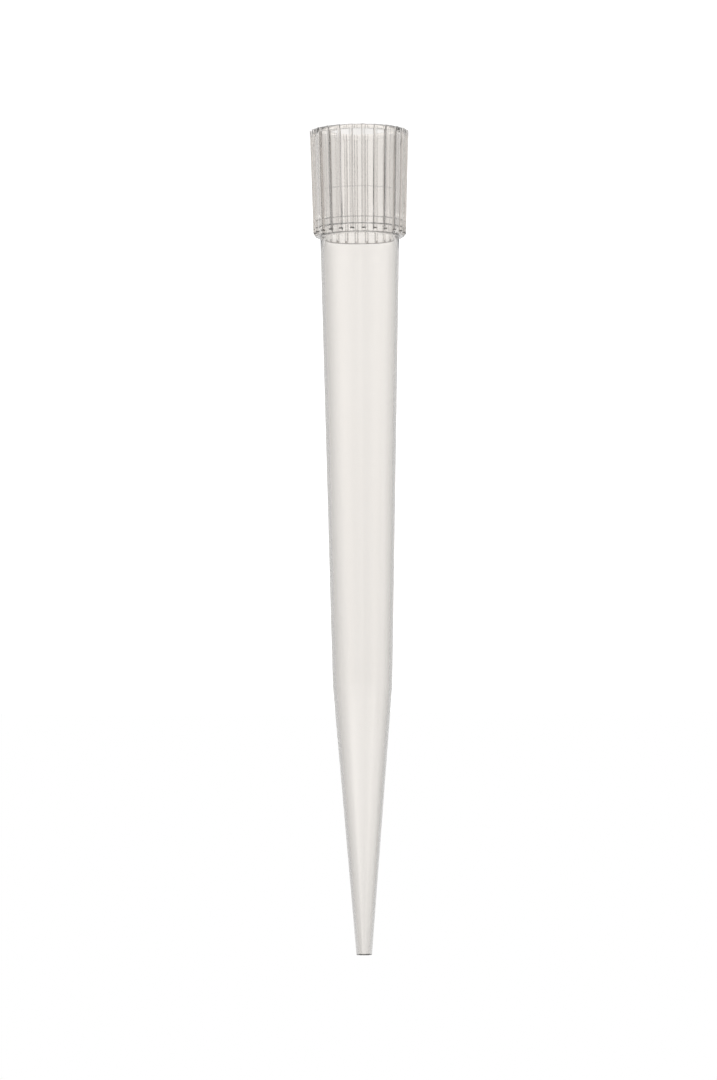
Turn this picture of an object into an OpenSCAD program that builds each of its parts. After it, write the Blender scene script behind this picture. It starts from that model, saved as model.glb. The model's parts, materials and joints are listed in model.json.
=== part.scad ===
// Long disposable tip for a large-volume lab pipette.
//
// One moulded piece of clear plastic. It stands mouth down: the rim of the
// ribbed collar is at z = 0, the axis is Z, and the open point is at the top.
// Depths are measured from the rim, along +Z.

/* [Overall] */
// Length from the rim of the collar to the open point
tip_length = 120; // [95:1:160]
// Length of the steep point, from the bend in the body to its open end
point_length = 39.15; // [20:0.05:60]

/* [Socket] */
// Diameter of the straight seat that grips the pipette's cone
seat_d = 10.84; // [9:0.02:14]
// Length of that seat
seat_length = 4.4; // [2:0.1:8]
// Length of the slightly narrower land beyond the seat
land_length = 1; // [0.5:0.1:2]
// Distance from that land to the foot of the collar
land_to_foot = 1.25; // [0.4:0.05:3]
// How much smaller in radius the land is than the seat
seat_step = 0.07; // [0.03:0.01:0.2]
// How much smaller in radius the body's bore is than the land
land_step = 0.05; // [0.02:0.01:0.2]
// Draft of the land and of the stretch beyond it, in radius along each
land_draft = 0.01; // [0.01:0.01:0.03]
// How much the bore widens in radius from the seat up to the lead-in
bore_flare = 0.13; // [0:0.01:0.3]
// How much the lead-in adds to the radius at the rim
mouth_flare = 0.2; // [0.05:0.05:0.4]
// Height of the lead-in
lead_in = 0.75; // [0.3:0.05:2]

/* [Collar] */
// Height of the collar, from its rim to its foot
collar_height = 15.5; // [12:0.1:30]
// Wall between the seat and the panels between the ribs, at the foot
collar_wall = 0.95; // [0.5:0.01:1.2]
// How much the collar widens in radius from the foot to the rim
collar_flare = 0.45; // [0:0.05:1]
// Number of ribs round the collar
rib_count = 24; // [8:1:36]
// How far the crest of a rib stands out from the panels
rib_height = 0.42; // [0.3:0.01:1]
// Width of a rib
rib_width = 0.52; // [0.4:0.01:1]
// Height of the ring that joins the ribs at the rim
ring_height = 0.6; // [0.4:0.05:2]
// How far the ring's face lies under the rib crests
ring_drop = 0.2; // [0.05:0.05:0.25]
// Height of the slope where the ribs end at the foot
foot_slope = 0.5; // [0.1:0.05:1]
// How far the rib crests move in over that slope
slope_in = 0.35; // [0.1:0.05:0.4]

/* [Body] */
// Wall of the body above the bend
body_wall = 0.5; // [0.35:0.01:0.6]
// Outer diameter of the body at the bend
bend_d = 8.66; // [5:0.02:11]
// Outer diameter of the open end
end_d = 2.22; // [1.6:0.02:4]
// Wall at the open end
end_wall = 0.35; // [0.2:0.01:0.5]
// Largest fillet between the body and the foot of the collar
body_fillet = 0.25; // [0.1:0.05:0.4]

/* [Hidden] */
$fn = 96;

// Straight steps in the body's fillet
round_steps = 5;
// How far a cutting shape runs past what it cuts
overrun = 1;
// How far a rib's bar reaches into the collar wall, so that the two join
rib_root = 0.3;

// Depths along the axis
bend_depth = tip_length - point_length;
seat_end = collar_height - land_to_foot - land_length;
seat_start = seat_end - seat_length;
land_end = seat_end + land_length;

// Radii of the hollow
seat_r = seat_d / 2;
land_r = seat_r - seat_step;
land_end_r = land_r - land_draft;
body_bore_r = land_end_r - land_step - land_draft;
bore_top_r = seat_r + bore_flare;
mouth_r = bore_top_r + mouth_flare;
bend_bore_r = bend_d / 2 - body_wall;
end_bore_r = end_d / 2 - end_wall;

// Radii of the outside
panel_foot_r = seat_r + collar_wall;
crest_foot_r = panel_foot_r + rib_height;
crest_rim_r = crest_foot_r + collar_flare;
body_top_r = body_bore_r + body_wall;
bend_r = bend_d / 2;
end_r = end_d / 2;

// The fillet stays inside the ledge that it stands on
fillet = min(body_fillet, panel_foot_r - body_top_r);

// Radius of the rib crests at a given depth
function crest_r(depth) =
    crest_rim_r - collar_flare * depth / collar_height;

// Outer radius of the body above the bend at a given depth
function body_r(depth) =
    body_top_r + (bend_r - body_top_r) * (depth - collar_height) / (bend_depth - collar_height);

// Outline of the crests: a cone that slopes in steeply at the foot
module crest_outline() {
    slope_start = collar_height - foot_slope;
    polygon([
        [0, 0],
        [crest_rim_r, 0],
        [crest_r(slope_start), slope_start],
        [crest_foot_r - slope_in, collar_height],
        [0, collar_height]
    ]);
}

// Outline of the smooth core: ring, collar wall, fillet and body
module core_outline() {
    fillet_end = collar_height + fillet;
    polygon(concat(
        [[0, 0],
         [crest_rim_r - ring_drop, 0],
         [crest_r(ring_height) - ring_drop, ring_height],
         [crest_r(ring_height) - rib_height, ring_height],
         [panel_foot_r, collar_height]],
        [for (i = [0:round_steps])
            let (a = 90 * i / round_steps)
            [body_r(fillet_end) + fillet * (1 - sin(a)),
             fillet_end - fillet * cos(a)]],
        [[bend_r, bend_depth],
         [end_r, tip_length],
         [0, tip_length]]
    ));
}

// Outline of the hollow: mouth, seat, land, body bore and open end
module bore_outline() {
    polygon([
        [0, -overrun],
        [mouth_r, -overrun],
        [mouth_r, 0],
        [bore_top_r, lead_in],
        [seat_r, seat_start],
        [seat_r, seat_end],
        [land_r, seat_end],
        [land_end_r, land_end],
        [land_end_r - land_step, land_end],
        [body_bore_r, collar_height],
        [bend_bore_r, bend_depth],
        [end_bore_r, tip_length],
        [end_bore_r, tip_length + overrun],
        [0, tip_length + overrun]
    ]);
}

// One straight bar, from inside the collar wall out past the crests
module rib_bar(angle) {
    bar_start = panel_foot_r - rib_root;
    rotate([0, 0, angle])
        translate([bar_start, -rib_width / 2, 0])
            cube([crest_rim_r - bar_start + overrun, rib_width, collar_height]);
}

// The ribs: a ring of bars trimmed to the crest outline
module ribs() {
    intersection() {
        rotate_extrude() crest_outline();
        union() {
            for (i = [0:rib_count - 1])
                rib_bar(360 * i / rib_count);
        }
    }
}

// The whole tip, one moulded piece
module tip() {
    color([0.92, 0.91, 0.89, 0.55])
        difference() {
            union() {
                rotate_extrude() core_outline();
                ribs();
            }
            rotate_extrude() bore_outline();
        }
}

tip();
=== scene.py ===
# %% [markdown]
# # A clear pipette tip
#
# A pipette tip is a long hollow cone of clear plastic. A ribbed collar at its
# wide end grips the nose of a pipette, and the other end tapers to a small
# open point. This lesson builds the whole tip as one closed surface and gives
# it the look of moulded plastic in a bright studio.
#
# The finished shape has to sit on a solid model made earlier. So the first
# step loads that model and keeps its box, and later steps take what they can
# from it.

# %% Load the frame
import json
import math

import bpy
import numpy as np
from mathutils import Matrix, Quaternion, Vector


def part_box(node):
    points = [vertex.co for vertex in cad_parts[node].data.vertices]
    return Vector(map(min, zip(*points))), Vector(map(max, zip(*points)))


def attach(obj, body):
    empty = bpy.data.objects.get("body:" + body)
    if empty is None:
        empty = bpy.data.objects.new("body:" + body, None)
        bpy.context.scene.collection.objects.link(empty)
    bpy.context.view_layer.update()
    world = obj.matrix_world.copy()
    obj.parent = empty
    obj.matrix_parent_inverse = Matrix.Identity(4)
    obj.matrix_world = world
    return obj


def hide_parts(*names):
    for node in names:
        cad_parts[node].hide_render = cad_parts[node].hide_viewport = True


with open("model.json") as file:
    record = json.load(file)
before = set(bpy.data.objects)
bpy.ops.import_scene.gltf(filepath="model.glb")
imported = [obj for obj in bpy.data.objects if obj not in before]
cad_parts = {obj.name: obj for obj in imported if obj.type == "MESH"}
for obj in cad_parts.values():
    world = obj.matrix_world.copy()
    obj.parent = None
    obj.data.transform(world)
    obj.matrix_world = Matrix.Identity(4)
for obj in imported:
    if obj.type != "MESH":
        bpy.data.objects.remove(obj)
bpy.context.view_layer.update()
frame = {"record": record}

# %% [markdown]
# ## Sizes
#
# The tip stands on its rim, with its axis on Z. Its length and the radius of
# its ribs at the rim come from the solid model's box. The seat and the foot
# of the collar come from its mounts, the places where other parts touch it.
# The rest are plain numbers in millimetres, because a wall of half a
# millimetre is easier to read as 0.5 than as 0.0005.

# %% Sizes
MM = 1e-3
tip_high = np.array(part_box("tip")[1]) / MM
mounts = {m["name"]: m for m in frame["record"]["mounts"]}
seat_length = mounts["cone_socket"]["dims"]["length_mm"]
seat_middle = mounts["cone_socket"]["pos_m"][2] / MM

LENGTH = tip_high[2]
CREST_RIM = tip_high[0]
SEAT_R = mounts["cone_socket"]["dims"]["r_mm"]
SEAT_START = seat_middle - seat_length / 2
SEAT_END = seat_middle + seat_length / 2
COLLAR = mounts["rack_shoulder"]["pos_m"][2] / MM

BEND = 80.85
BODY_FOOT_R = 5.78
BEND_R = 4.33
END_R = 1.11
BODY_WALL = 0.5
END_WALL = 0.35
print(f"length {LENGTH:.2f}, ribs to {CREST_RIM:.2f} at the rim, collar {COLLAR:.2f}")

# %% [markdown]
# ## The outline of the collar
#
# Twenty-four straight ribs run down the collar. They give a gloved hand
# something to hold, and keep a thin wall stiff. A ring joins them at the rim,
# a little lower than their crests.
#
# They could be cut out with a Boolean for each rib, but that leaves ragged
# faces round every corner, and clear plastic shows each one. Here the outline
# of one rib and one panel is worked out as two rows of numbers, and turned
# round the axis. Every level of the tip has the same count of points, so the
# levels join into clean four-sided faces.

# %% One rib and one panel
RIBS = 24
RIB_HEIGHT = 0.42
RIB_WIDTH = 0.52
CREST_ROUND = 0.25
ROUND_SHARE = 0.6
ROOT_GAP = 0.02
CORNER_POINTS = 6
TOP_POINTS = 3
TOP_REACH = 0.6
PANEL_POINTS = 7
PITCH = 2 * math.pi / RIBS


def pitch_outline(crest, root):
    """Points across one rib and one panel, for each level.

    r is the distance out and t the distance across, from minus to plus half
    a rib's width. On the crest r * r + t * t is the square of crest, and on
    the panel the square of root. A corner is a quarter of a circle of radius
    rounding: it moves in across the rib by 1 - cos and out by sin. Each
    array holds one row for each level.
    """
    crest, root = crest[:, None], root[:, None]
    half = RIB_WIDTH / 2
    rounding = np.minimum(CREST_ROUND, ROUND_SHARE * (crest - root))
    turn = np.linspace(0, math.pi / 2, CORNER_POINTS)[None, :]
    corner_t = -half + rounding * (1 - np.cos(turn))
    corner_r = np.sqrt(crest**2 - (half - rounding) ** 2) - rounding * (1 - np.sin(turn))
    across = np.linspace(-TOP_REACH, TOP_REACH, TOP_POINTS)[None, :]
    top_t = across * (half - rounding)
    top_r = np.sqrt(crest**2 - top_t**2)
    side_t = np.full_like(crest, half + ROOT_GAP)
    side_r = np.sqrt(root**2 - side_t**2)
    start = np.arcsin(side_t / root)
    share = np.linspace(0, 1, PANEL_POINTS + 2)[None, 1:-1]
    angle = start + (PITCH - 2 * start) * share
    r = [side_r, corner_r, top_r, corner_r[:, ::-1], side_r, root * np.cos(angle)]
    t = [-side_t, corner_t, top_t, -corner_t[:, ::-1], side_t, root * np.sin(angle)]
    return np.hstack(r), np.hstack(t)


def level_points(z, crest, root):
    """Points of every level, as an array of levels by columns by three.

    One pitch is turned to its place by x = r cos - t sin, y = r sin + t cos,
    for each of RIBS angles that are PITCH apart. A level whose crest and root
    are the same is a circle, with its points at the angles of the rim's.
    """
    r, t = pitch_outline(crest, root)
    turn = PITCH * np.arange(RIBS)[None, :, None]
    x = r[:, None, :] * np.cos(turn) - t[:, None, :] * np.sin(turn)
    y = r[:, None, :] * np.sin(turn) + t[:, None, :] * np.cos(turn)
    x, y = x.reshape(len(z), -1), y.reshape(len(z), -1)
    angle = np.arctan2(y[0], x[0])[None, :]
    plain = (crest - root < 1e-6)[:, None]
    x = np.where(plain, crest[:, None] * np.cos(angle), x)
    y = np.where(plain, crest[:, None] * np.sin(angle), y)
    return np.stack([x, y, np.broadcast_to(z[:, None], x.shape)], axis=2)


# %% [markdown]
# ## The outline from rim to point and back
#
# A mould core makes the inside of the tip and a cavity makes the outside. So
# the whole tip is one line: up the outside from the rim to the point, over
# the lip, and back down the inside to the rim. Each point on the line gives a
# height, the radius of the crests and the radius of the panels. On the body
# the last two are the same.
#
# The steps inside are small, but they show. A sharp edge throws light aside,
# so each one draws a fine dark line. Most are finer than the eye could pick
# out in the shape alone, so each level also has an edge shade, from 0 for
# none to 1 for the darkest. It is painted shade: it darkens the plastic's
# colour later.

# %% Outside of the tip
RING_HEIGHT = 0.6
RING_DROP = 0.2
RING_UNDERSIDE = 0.03
RIM_ROUND = 0.02
ROUND_STEPS = 4
CREST_FOOT = 6.79
FOOT_SLOPE = 0.5
SLOPE_IN = 0.35
SLOPE_STEP = 0.1
# SLOPE_SHADE, FOOT_SHADE and END_SHADE are painted shade: they darken the plastic's colour at those
# edges.
SLOPE_SHADE = 1.0
FOOT_SHADE = 0.6
BEND_STEP = 0.2
LIP = 0.06
END_STEPS = (0.25, 0.15)
END_SHADE = 0.95
BODY_FILLET = 0.25
BODY_LEVELS = 29
POINT_LEVELS = 18


def crest_radius(z):
    """Radius of the crests: a straight line from the rim to the foot."""
    return CREST_RIM + (CREST_FOOT - CREST_RIM) * z / COLLAR


def body_radius(z):
    """Outer radius above the collar: one line to the bend, one to the end."""
    return np.interp(z, [COLLAR, BEND, LENGTH], [BODY_FOOT_R, BEND_R, END_R])


def rows(z, crest, root, edge=0.0):
    """Four columns of the same length: height, crest radius, panel radius and edge shade."""
    return np.column_stack(np.broadcast_arrays(z, crest, root, edge))


turn = np.linspace(0, math.pi / 2, ROUND_STEPS + 1)
rim_z = RIM_ROUND * (1 - np.cos(turn[1:]))
rim_in = RIM_ROUND * (1 - np.sin(turn[1:]))
ring = [
    rows(0, CREST_RIM - RIM_ROUND, CREST_RIM - RIM_ROUND - RING_DROP),
    rows(rim_z, crest_radius(rim_z) - rim_in, crest_radius(rim_z) - rim_in - RING_DROP),
    rows(RING_HEIGHT, crest_radius(RING_HEIGHT), crest_radius(RING_HEIGHT) - RING_DROP),
]
slope_start = COLLAR - FOOT_SLOPE
straight = np.linspace(RING_HEIGHT + RING_UNDERSIDE, slope_start - 2 * SLOPE_STEP, 7)
slope = slope_start + SLOPE_STEP * np.arange(-1, 3)
slope_crest = crest_radius(slope) - SLOPE_IN / FOOT_SLOPE * np.clip(slope - slope_start, 0, None)
foot_share = 1 - SLOPE_STEP / FOOT_SLOPE
ribbed = [
    rows(straight, crest_radius(straight), crest_radius(straight) - RIB_HEIGHT),
    rows(slope, slope_crest, crest_radius(slope) - RIB_HEIGHT, [0, SLOPE_SHADE, SLOPE_SHADE, 0]),
    rows(COLLAR - SLOPE_STEP, CREST_FOOT - SLOPE_IN * foot_share, CREST_FOOT - RIB_HEIGHT),
    rows(COLLAR, CREST_FOOT - SLOPE_IN, CREST_FOOT - RIB_HEIGHT, FOOT_SHADE),
]
fillet_end = COLLAR + BODY_FILLET
fillet_z = COLLAR + BODY_FILLET * (1 - np.cos(turn))
fillet_r = body_radius(fillet_end) + BODY_FILLET * (1 - np.sin(turn))
shaft = np.concatenate([
    np.linspace(fillet_end, BEND - 2 * BEND_STEP, BODY_LEVELS + 1)[1:],
    np.linspace(BEND - BEND_STEP, BEND + BEND_STEP, 3),
    np.linspace(BEND + 2 * BEND_STEP, LENGTH - 2 * BEND_STEP, POINT_LEVELS),
])
last = LENGTH - np.array([*END_STEPS, LIP])
smooth = [
    rows(fillet_z, fillet_r, fillet_r, FOOT_SHADE * np.cos(turn)),
    rows(shaft, body_radius(shaft), body_radius(shaft)),
    rows(last, body_radius(last), body_radius(last), [0, 0.5 * END_SHADE, END_SHADE]),
]
outside = np.vstack(ring + ribbed + smooth)
print(f"{len(outside)} levels outside, {RIBS} ribs")

# %% [markdown]
# ## The bore
#
# The line comes back down the inside. From the point it widens to the bend and
# on to the foot of the collar, and that long stretch holds the liquid. Then it
# steps out twice, to a short land and to the straight seat that grips the
# pipette. From there it flares a little, up to the wide lead-in at the mouth.
#
# Each step is only a few hundredths of a millimetre. It could be two levels at
# one height, but a flat face that small hardly shows. So a fine bead is laid
# over each step, which bends light from every side. Its edge shade also paints
# a thin dark line there, as painted shade.

# %% Inside of the tip
LAND_R = 5.35
LAND_LENGTH = 1.0
BORE_R = 5.29
BEAD_WIDTH = 0.26
LAND_BEAD = 0.09
# LAND_SHADE, SEAT_SHADE and START_SHADE are painted shade along the steps of the bore.
LAND_SHADE = 0.9
SEAT_BEAD = 0.04
SEAT_SHADE = 0.7
START_WIDTH = 0.24
START_SHADE = 0.4
BORE_TOP_R = 5.55
MOUTH_R = 5.75
LEAD_IN = 0.75

end_bore = END_R - END_WALL
bend_bore = BEND_R - BODY_WALL
end_tube = LENGTH - np.array([LIP, END_STEPS[1]])
point_tube = np.linspace(LENGTH - END_STEPS[0], BEND, POINT_LEVELS + 1)
end_tube_r = np.interp(end_tube, [BEND, LENGTH], [bend_bore, end_bore])
point_tube_r = np.interp(point_tube, [BEND, LENGTH], [bend_bore, end_bore])
chamber = np.linspace(BEND, COLLAR, BODY_LEVELS + 2)[1:]
chamber_r = np.interp(chamber, [COLLAR, BEND], [BORE_R, bend_bore])


def bead(middle, above, below, height, shade):
    """A fine ridge round the bore, at a step from one radius to another.

    Across its width the radius goes from above to below in a straight line,
    less height times the square of a cosine that is 1 in the middle. The
    edge shade is shade times the same square.
    """
    across = np.linspace(1, -1, 9)
    hump = np.cos(across * math.pi / 2) ** 2
    radius = above + (below - above) * (1 - across) / 2 - height * hump
    return rows(middle + across * BEAD_WIDTH / 2, radius, radius, shade * hump)


end_z = np.array([LENGTH, LENGTH])
end_r = np.array([END_R - LIP, end_bore + LIP])
seat_z = np.array([seat_middle, SEAT_START + START_WIDTH / 2])
flare_z = np.linspace(SEAT_START - START_WIDTH / 2, LEAD_IN, 4)
flare_r = np.interp(flare_z, [LEAD_IN, SEAT_START], [BORE_TOP_R, SEAT_R])
mouth_z = [RIM_ROUND, 0]
mouth_r = [MOUTH_R, MOUTH_R + RIM_ROUND]
inside = np.vstack([
    rows(end_z, end_r, end_r, END_SHADE),
    rows(end_tube, end_tube_r, end_tube_r, END_SHADE),
    rows(point_tube, point_tube_r, point_tube_r),
    rows(chamber, chamber_r, chamber_r),
    bead(SEAT_END + LAND_LENGTH, BORE_R, LAND_R, LAND_BEAD, LAND_SHADE),
    bead(SEAT_END, LAND_R, SEAT_R, SEAT_BEAD, SEAT_SHADE),
    rows(seat_z, SEAT_R, SEAT_R),
    rows(SEAT_START, SEAT_R, SEAT_R, START_SHADE),
    rows(flare_z, flare_r, flare_r),
    rows(mouth_z, mouth_r, mouth_r),
])
profile = np.vstack([outside, inside])
print(f"{len(inside)} levels inside, bore {2 * end_bore:.2f} mm at the point")

# %% [markdown]
# ## The mesh
#
# The line has now been all the way round, so the last level joins the first,
# across the flat face of the rim. The columns join round the axis too. A
# surface that closes both ways has no poles and no holes, so a ray of light
# always meets plastic and air in turn, which glass-like shading needs.

# %% Build the closed surface
def closed_faces(levels, columns):
    """Four corners for each face, wrapping round both ways.

    They are a point, its neighbour along the level, and the same two on the
    next level.
    """
    index = np.arange(levels * columns).reshape(levels, columns)
    along = np.roll(index, -1, axis=1)
    above = np.roll(index, -1, axis=0)
    return np.stack([index, along, np.roll(along, -1, axis=0), above], -1).reshape(-1, 4)


def make_object(name, points, faces):
    """Puts points in metres and faces of four corners into a new object."""
    mesh = bpy.data.meshes.new(name)
    mesh.vertices.add(len(points))
    mesh.vertices.foreach_set("co", points.ravel())
    mesh.loops.add(faces.size)
    mesh.loops.foreach_set("vertex_index", faces.ravel())
    mesh.polygons.add(len(faces))
    mesh.polygons.foreach_set("loop_start", np.arange(0, faces.size, 4))
    mesh.update(calc_edges=True)
    mesh.validate()
    thing = bpy.data.objects.new(name, mesh)
    bpy.context.scene.collection.objects.link(thing)
    return thing


def volume(points, faces):
    """Volume inside a closed surface: the sum over its triangles of a . (b x c) / 6.

    It is negative if the faces point inwards.
    """
    a, b, c, d = (points[faces[:, i]] for i in range(4))
    first = np.einsum("ij,ij->i", a, np.cross(b, c))
    second = np.einsum("ij,ij->i", a, np.cross(c, d))
    return (first + second).sum() / 6


CREST_POINTS = 1 + 2 * CORNER_POINTS + TOP_POINTS
RIBBED_STEP = 0.3
SHARP_ANGLE = math.radians(30)


def edge_shades(profile, columns):
    """The edge shade of every point, as levels by columns.

    Between the ribs, where the crest stands RIBBED_STEP or more out of the
    panel, the shade is 0. So it shows on the ends of the ribs as dots.
    """
    shade = np.repeat(profile[:, 3:], columns, axis=1)
    on_crest = np.tile(np.arange(columns // RIBS) < CREST_POINTS, RIBS)
    shade[:, ~on_crest] *= profile[:, 1:2] - profile[:, 2:3] < RIBBED_STEP
    return shade


def store_edges(thing, shade, outer_levels):
    """Two point attributes: outer_painted_shade for the first levels, inner_painted_shade for the rest."""
    outer = np.arange(len(shade))[:, None] < outer_levels
    for name, values in (("outer_painted_shade", shade * outer), ("inner_painted_shade", shade * ~outer)):
        thing.data.attributes.new(name, "FLOAT", "POINT").data.foreach_set("value", values.ravel())


grid = level_points(*profile[:, :3].T)
points = (grid * MM).reshape(-1, 3)
faces = closed_faces(*grid.shape[:2])
plastic = volume(points, faces)
tip = make_object("clear_tip", points, faces)
store_edges(tip, edge_shades(profile, grid.shape[1]), len(outside))
tip.data.shade_smooth()
tip.data.set_sharp_from_angle(angle=SHARP_ANGLE)
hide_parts("tip")
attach(tip, "root")
print(f"{2 * len(faces)} triangles, {plastic * 1e9:.0f} cubic mm of plastic")

# %% [markdown]
# ## The plastic
#
# The tip is moulded in a clear plastic like polypropylene. It is clear but
# not like glass: tiny crystals in it scatter some light, so it looks slightly
# milky, and it takes a warm grey tint where there is more of it to look
# through. The polished mould leaves a faint ripple on it.
#
# One Principled shader does most of this. Its transmission gives the clear
# part, what is left over gives the milky part, and a Volume Absorption node
# gives a tint that grows with the depth of plastic. A colour on the surface
# alone would tint a thin wall as much as a thick rib.

# %% A helper for nodes
def add_node(tree, kind, inputs=None, **settings):
    """Adds a node. Each input is a value, or the output socket that feeds it."""
    node = tree.nodes.new(kind)
    for name, value in settings.items():
        setattr(node, name, value)
    for name, value in (inputs or {}).items():
        if isinstance(value, bpy.types.NodeSocket):
            tree.links.new(value, node.inputs[name])
        else:
            node.inputs[name].default_value = value
    return node


def math_node(tree, operation, first, second=0.0):
    """A Math node of two inputs, and its output."""
    return add_node(tree, "ShaderNodeMath", {0: first, 1: second}, operation=operation).outputs[0]


def multiply_node(tree, first, second):
    """The product of two colours."""
    settings = {"data_type": "RGBA", "blend_type": "MULTIPLY"}
    return add_node(tree, "ShaderNodeMix", {0: 1.0, 6: first, 7: second}, **settings).outputs[2]


def ramp_node(tree, factor, stops):
    """Colours along a ramp. Each stop is a place from 0 to 1, and a colour."""
    ramp = add_node(tree, "ShaderNodeValToRGB", {"Fac": factor})
    marks = ramp.color_ramp.elements
    marks.remove(marks[1])
    marks[0].position = stops[0][0]
    for position, _ in stops[1:]:
        marks.new(position)
    for mark, (_, colour) in zip(marks, stops):
        mark.color = (*colour, 1)
    return ramp.outputs["Color"]


def grey_ramp(tree, factor, stops):
    """The same for greys. Each stop is a place from 0 to 1, and a brightness."""
    return ramp_node(tree, factor, [(place, (value,) * 3) for place, value in stops])


# %% Clear plastic with a faint mottle
PLASTIC_IOR = 1.49
CLEAR_SHARE = 0.985
MOTTLE_SCALE = 300.0
MOTTLE_STRETCH = (1, 1, 0.06)
PALE_TINT = (1.0, 0.983, 0.963)
DEEP_TINT = (0.985, 0.967, 0.945)
SMOOTHEST = 0.05
ROUGHEST = 0.07

plastic_material = bpy.data.materials.new("clear_moulded_plastic")
plastic_material.use_nodes = True
tip.data.materials.append(plastic_material)
tree = plastic_material.node_tree
shader = tree.nodes["Principled BSDF"]
shader.inputs["IOR"].default_value = PLASTIC_IOR
shader.inputs["Transmission Weight"].default_value = CLEAR_SHARE

place = add_node(tree, "ShaderNodeTexCoord").outputs["Object"]
stretch = add_node(tree, "ShaderNodeMapping", {"Vector": place, "Scale": MOTTLE_STRETCH})
mottle = add_node(
    tree, "ShaderNodeTexNoise",
    {"Vector": stretch.outputs[0], "Scale": MOTTLE_SCALE, "Detail": 2.0},
)
tint = ramp_node(tree, mottle.outputs["Fac"], [(0.3, PALE_TINT), (0.7, DEEP_TINT)])
finish = grey_ramp(tree, mottle.outputs["Fac"], [(0.3, SMOOTHEST), (0.7, ROUGHEST)])
tree.links.new(finish, shader.inputs["Roughness"])
print(f"clear share {CLEAR_SHARE}, roughness {SMOOTHEST} to {ROUGHEST}")

# %% [markdown]
# ## Painted shade: dark edges and a greyer point
#
# A real edge in clear plastic has a tiny radius that sends light anywhere but
# to the eye, so it looks dark. Modelling each radius would need far more faces,
# so the edge shade stored on the points darkens the base colour there instead:
# the dark edges are painted shade.
#
# An edge inside the bore is dark only for light that meets it from inside the
# plastic, where it is thrown back, and an outer edge only for light that meets
# it from outside. The Geometry node's Backfacing output tells the two apart.
# The base colour also gets a little greyer towards the point. This is painted
# shade too, for the darker look of the thin point.

# %% Base colour with painted shade
# The colour of the darkest painted edge shade, and the painted shade towards the point.
PAINTED_EDGE_SHADE = (0.02, 0.018, 0.016)
PAINTED_SHADE_TOWARDS_POINT = [(0.3, 1.0), (0.57, 0.982), (0.8, 0.966), (1.0, 0.92)]

# Painted shade: the edge shades darken the base colour, each from its own side.
from_inside = add_node(tree, "ShaderNodeNewGeometry").outputs["Backfacing"]
from_outside = math_node(tree, "SUBTRACT", 1.0, from_inside)
outer_painted_shade = add_node(tree, "ShaderNodeAttribute", attribute_name="outer_painted_shade").outputs["Fac"]
inner_painted_shade = add_node(tree, "ShaderNodeAttribute", attribute_name="inner_painted_shade").outputs["Fac"]
outer_part = math_node(tree, "MULTIPLY", outer_painted_shade, from_outside)
inner_part = math_node(tree, "MULTIPLY", inner_painted_shade, from_inside)
edge = math_node(tree, "ADD", outer_part, inner_part)
painted_edge_shade = ramp_node(tree, edge, [(0.0, (1, 1, 1)), (1.0, PAINTED_EDGE_SHADE)])
height = add_node(tree, "ShaderNodeSeparateXYZ", {"Vector": place}).outputs["Z"]
along = add_node(tree, "ShaderNodeMapRange", {"Value": height, "From Max": LENGTH * MM}).outputs[0]
# Painted shade that greys the base colour towards the point.
greyer = grey_ramp(tree, along, PAINTED_SHADE_TOWARDS_POINT)
shade = multiply_node(tree, multiply_node(tree, tint, greyer), painted_edge_shade)
tree.links.new(shade, shader.inputs["Base Color"])
print(f"edges go down to {PAINTED_EDGE_SHADE}, the point to {PAINTED_SHADE_TOWARDS_POINT[-1][1]} of the tint")

# %% [markdown]
# ## Ripple and depth
#
# The ripple is too shallow to build, so it is a Bump node. The depth tint is a
# Volume Absorption node, which takes away density times one minus its colour
# for each metre of plastic. The density is set a little over the largest of
# the three absorptions, so that every colour value stays above 0.

# %% Ripple and tint by depth
RIPPLE = 0.02
RIPPLE_SCALE = 900.0
RIPPLE_DEPTH = 1.2e-5
ABSORPTION = (30.0, 34.0, 38.0)
LARGEST_SHARE = 0.9

ripple = add_node(
    tree, "ShaderNodeTexNoise",
    {"Vector": stretch.outputs[0], "Scale": RIPPLE_SCALE, "Detail": 2.0},
)
bump = add_node(
    tree, "ShaderNodeBump",
    {"Height": ripple.outputs["Fac"], "Strength": RIPPLE, "Distance": RIPPLE_DEPTH},
)
tree.links.new(bump.outputs[0], shader.inputs["Normal"])

absorb = np.array(ABSORPTION)
density = absorb.max() / LARGEST_SHARE
depth_tint = add_node(
    tree, "ShaderNodeVolumeAbsorption",
    {"Color": (*(1 - absorb / density), 1), "Density": density},
)
tree.links.new(depth_tint.outputs[0], tree.nodes["Material Output"].inputs["Volume"])
print("light left after 1 mm of plastic:", np.exp(-absorb * MM).round(3))

# %% [markdown]
# ## The studio
#
# A clear thing in an all-white room has no edges, so a studio puts white behind
# it and grey beside it. Light that skims the wall of the tip bends outwards and
# picks up the grey, which draws the edges.
#
# Here the sky does that, and only for light that the plastic has bent or
# mirrored. Round the horizon it has a narrow white panel on each of four
# sides, each with a slightly greyer line down its middle, and grey between
# them. A little over the horizon a narrow bright band runs all round. The
# lead-in at the mouth bends light up to it, which makes the ring at the rim
# shine. Further down the sky has eight panels, for views from higher up, and
# further up it is an even grey. The camera itself sees plain white.
#
# The panels line up with the camera, which stands a few degrees round from the
# front. White and grey cards could do the same, but they would get in the way
# of other views.

# %% Panels of white and grey
VIEW_TURN = 4.8
GREY = 0.62
LOW_GREY = 0.7
HIGH_GREY = 0.6
BAND_WHITE = 1.15


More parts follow.
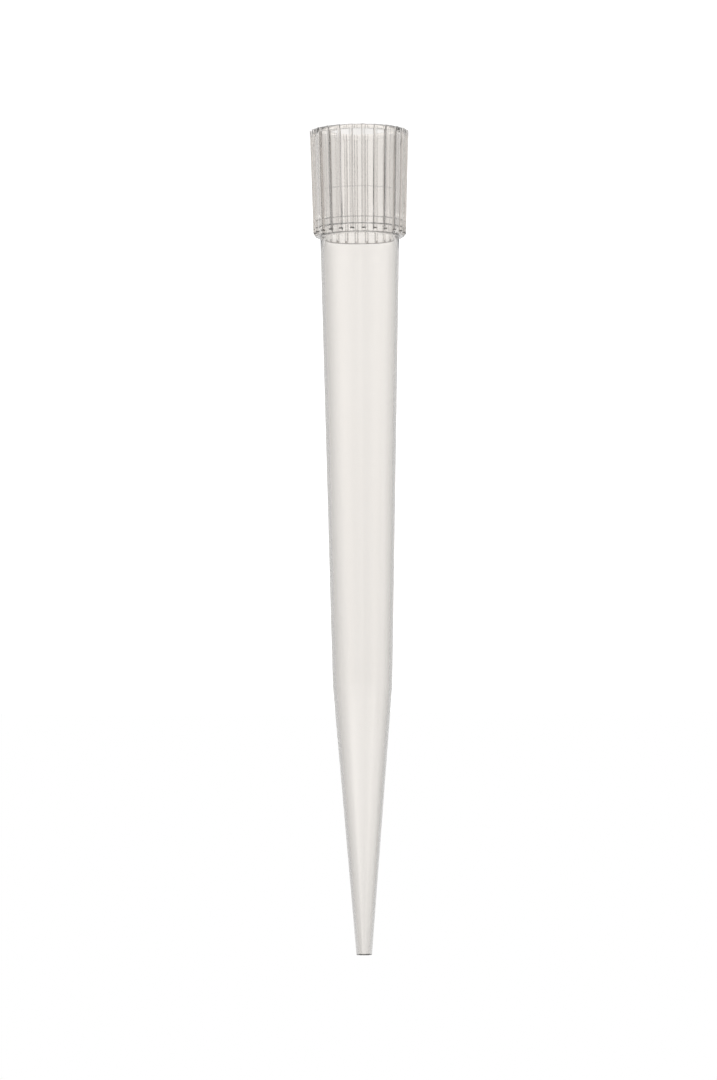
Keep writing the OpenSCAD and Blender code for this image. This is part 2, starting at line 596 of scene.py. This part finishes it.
def panel_light(tree, direction, panels, stops):
    """Brightness by compass angle, the same for each of some panels.

    Each stop is an angle in degrees from the middle of a panel, and the
    brightness there. The angle is divided by the width of a panel and only
    the fraction is kept, so 0.5 is the middle of each.
    """
    width = 2 * math.pi / panels
    split = add_node(tree, "ShaderNodeSeparateXYZ", {"Vector": direction})
    angle = math_node(tree, "ARCTAN2", split.outputs["Y"], split.outputs["X"])
    turned = math_node(tree, "SUBTRACT", angle, math.radians(90 + VIEW_TURN) - width / 2)
    share = math_node(tree, "FRACT", math_node(tree, "DIVIDE", turned, width))
    places = [(0.5 + math.radians(degrees) / width, value) for degrees, value in stops]
    return grey_ramp(tree, share, places)


def blend_node(tree, factor, first, second):
    """A mix of two colours: the first where factor is 0, the second where it is 1."""
    return add_node(tree, "ShaderNodeMix", {0: factor, 6: first, 7: second}, data_type="RGBA").outputs[2]


def even_node(tree, value):
    """A plain grey or white of the given brightness."""
    node = add_node(tree, "ShaderNodeRGB")
    node.outputs[0].default_value = (value, value, value, 1)
    return node.outputs[0]


def bent_rays(tree):
    """Two outputs, each 0 or 1: for a camera ray, and for a ray mirrored or bent on its way."""
    path = add_node(tree, "ShaderNodeLightPath")
    bent = math_node(
        tree, "MAXIMUM", path.outputs["Is Glossy Ray"], path.outputs["Is Transmission Ray"]
    )
    return path.outputs["Is Camera Ray"], bent


# %% World
# half_turn is half of 1 plus the sine of a direction's elevation. So it is 0
# straight down, 0.5 at the horizon and 1 straight up.
WORLD_LEVEL = 0.9
LEVEL_PANELS = 4
LEVEL_STOPS = [
    (-32, GREY), (-20, 0.68), (-10, 0.75), (-7, 0.8), (-5, 0.87), (-4, 0.95), (-3, 1.02),
    (-2, 1.02), (0.3, 0.91), (2.3, 1.0), (3, 0.99), (5, 0.91), (9, 0.85), (16, 0.76), (24, 0.66),
    (32, GREY),
]
LOW_PANELS = 8
LOW_STOPS = [(-15, LOW_GREY), (-7, 1.0), (7, 1.0), (15, LOW_GREY)]

world = bpy.data.worlds.new("bright_studio")
bpy.context.scene.world = world
world.use_nodes = True
tree = world.node_tree
tree.nodes.clear()
direction = add_node(tree, "ShaderNodeTexCoord").outputs["Generated"]
rise = add_node(tree, "ShaderNodeSeparateXYZ", {"Vector": direction}).outputs["Z"]
half_turn = add_node(tree, "ShaderNodeMapRange", {"Value": rise, "From Min": -1.0}).outputs[0]
level = panel_light(tree, direction, LEVEL_PANELS, LEVEL_STOPS)
low = panel_light(tree, direction, LOW_PANELS, LOW_STOPS)
below = grey_ramp(tree, half_turn, [(0.38, 1), (0.41, 0)])
band = grey_ramp(tree, half_turn, [(0.56, 0), (0.565, 1), (0.59, 1), (0.605, 0)])
high = grey_ramp(tree, half_turn, [(0.6, 0), (0.68, 1)])
sides = blend_node(tree, below, level, low)
over = blend_node(tree, high, sides, even_node(tree, HIGH_GREY))
sky = blend_node(tree, band, over, even_node(tree, BAND_WHITE))
seen, bent = bent_rays(tree)
plain = add_node(tree, "ShaderNodeBackground", {"Color": (1, 1, 1, 1), "Strength": WORLD_LEVEL})
panels = add_node(tree, "ShaderNodeBackground", {"Color": sky})
white = add_node(tree, "ShaderNodeBackground", {"Color": (1, 1, 1, 1), "Strength": 1.0})
mixed = add_node(tree, "ShaderNodeMixShader", {0: bent, 1: plain.outputs[0], 2: panels.outputs[0]})
shown = add_node(tree, "ShaderNodeMixShader", {0: seen, 1: mixed.outputs[0], 2: white.outputs[0]})
add_node(tree, "ShaderNodeOutputWorld", {"Surface": shown.outputs[0]})
print(f"a white panel at each quarter turn, grey {GREY} between them, grey {HIGH_GREY} above")

# %% [markdown]
# ## The floor
#
# The tip stands on a white floor and leaves a faint shadow on it. The floor
# would also hide the lower half of the sky from light that the plastic bends
# downwards. So it is clear to bent and mirrored light, and from underneath, and
# a soft glow keeps it white for the camera.

# %% Floor
FLOOR_SIZE = 12.0
FLOOR_WHITE = 0.86
FLOOR_GLOW = 0.5

half = FLOOR_SIZE / 2
corners = np.array([[-half, -half, 0], [half, -half, 0], [half, half, 0], [-half, half, 0]], float)
floor = make_object("floor", corners, np.array([[0, 1, 2, 3]]))
floor_material = bpy.data.materials.new("white_floor")
floor_material.use_nodes = True
tree = floor_material.node_tree
tree.nodes.clear()
seen, bent = bent_rays(tree)
under = add_node(tree, "ShaderNodeNewGeometry").outputs["Backfacing"]
matt = add_node(tree, "ShaderNodeBsdfDiffuse", {"Color": (FLOOR_WHITE,) * 3 + (1,)})
glow = add_node(tree, "ShaderNodeEmission", {"Color": (1, 1, 1, 1), "Strength": FLOOR_GLOW})
clear = add_node(tree, "ShaderNodeBsdfTransparent")
lit = add_node(tree, "ShaderNodeAddShader", {0: matt.outputs[0], 1: glow.outputs[0]})
shown = add_node(tree, "ShaderNodeMixShader", {0: seen, 1: matt.outputs[0], 2: lit.outputs[0]})
passed = math_node(tree, "MAXIMUM", bent, under)
mixed = add_node(tree, "ShaderNodeMixShader", {0: passed, 1: shown.outputs[0], 2: clear.outputs[0]})
add_node(tree, "ShaderNodeOutputMaterial", {"Surface": mixed.outputs[0]})
floor.data.materials.append(floor_material)
print(f"floor {FLOOR_SIZE:.0f} m across")

# %% [markdown]
# ## Lamp and camera
#
# One large soft lamp over the camera's shoulder gives the wall a soft shine
# and the floor a faint shadow. The camera has a long lens, as a maker of
# small-product pictures would use, and is turned upside down, because the tip
# is shown with its mouth up and stands here on its mouth.

# %% Lamp
LAMP_SIZE = 0.5
LAMP_WATTS = 1.2
LAMP_PLACE = (-0.5, -0.6, 0.7)

lamp_data = bpy.data.lights.new("softbox", "AREA")
lamp_data.size = LAMP_SIZE
lamp_data.energy = LAMP_WATTS
lamp = bpy.data.objects.new("softbox", lamp_data)
lamp.location = LAMP_PLACE
lamp.rotation_mode = "QUATERNION"
lamp.rotation_quaternion = (-lamp.location).to_track_quat("-Z", "Y")
bpy.context.scene.collection.objects.link(lamp)
print(f"lamp {lamp.location.length:.2f} m away, {LAMP_WATTS} W")

# %% Camera
AIM_HEIGHT = 59.9 * MM
AIM_SIDE = 0.46 * MM
DISTANCE = 0.553
ELEVATION = math.radians(3.4)
ROLL = math.radians(179.65)
VIEW_HEIGHT = 157.14 * MM
SENSOR = 36.0

swing = math.radians(VIEW_TURN)
back = Vector((
    math.sin(swing) * math.cos(ELEVATION),
    -math.cos(swing) * math.cos(ELEVATION),
    math.sin(ELEVATION),
))
side = Vector((math.cos(swing), math.sin(swing), 0))
camera_data = bpy.data.cameras.new("camera")
camera_data.sensor_fit = "VERTICAL"
camera_data.sensor_height = SENSOR
camera_data.lens = SENSOR * DISTANCE / VIEW_HEIGHT
camera = bpy.data.objects.new("camera", camera_data)
camera.rotation_mode = "QUATERNION"
camera.rotation_quaternion = (-back).to_track_quat("-Z", "Y") @ Quaternion((0, 0, 1), ROLL)
camera.location = Vector((0, 0, AIM_HEIGHT)) + AIM_SIDE * side + DISTANCE * back
bpy.context.scene.collection.objects.link(camera)
bpy.context.scene.camera = camera
bpy.context.scene.view_settings.view_transform = "Standard"
print(f"lens {camera_data.lens:.1f} mm, camera at {tuple(round(v, 3) for v in camera.location)}")
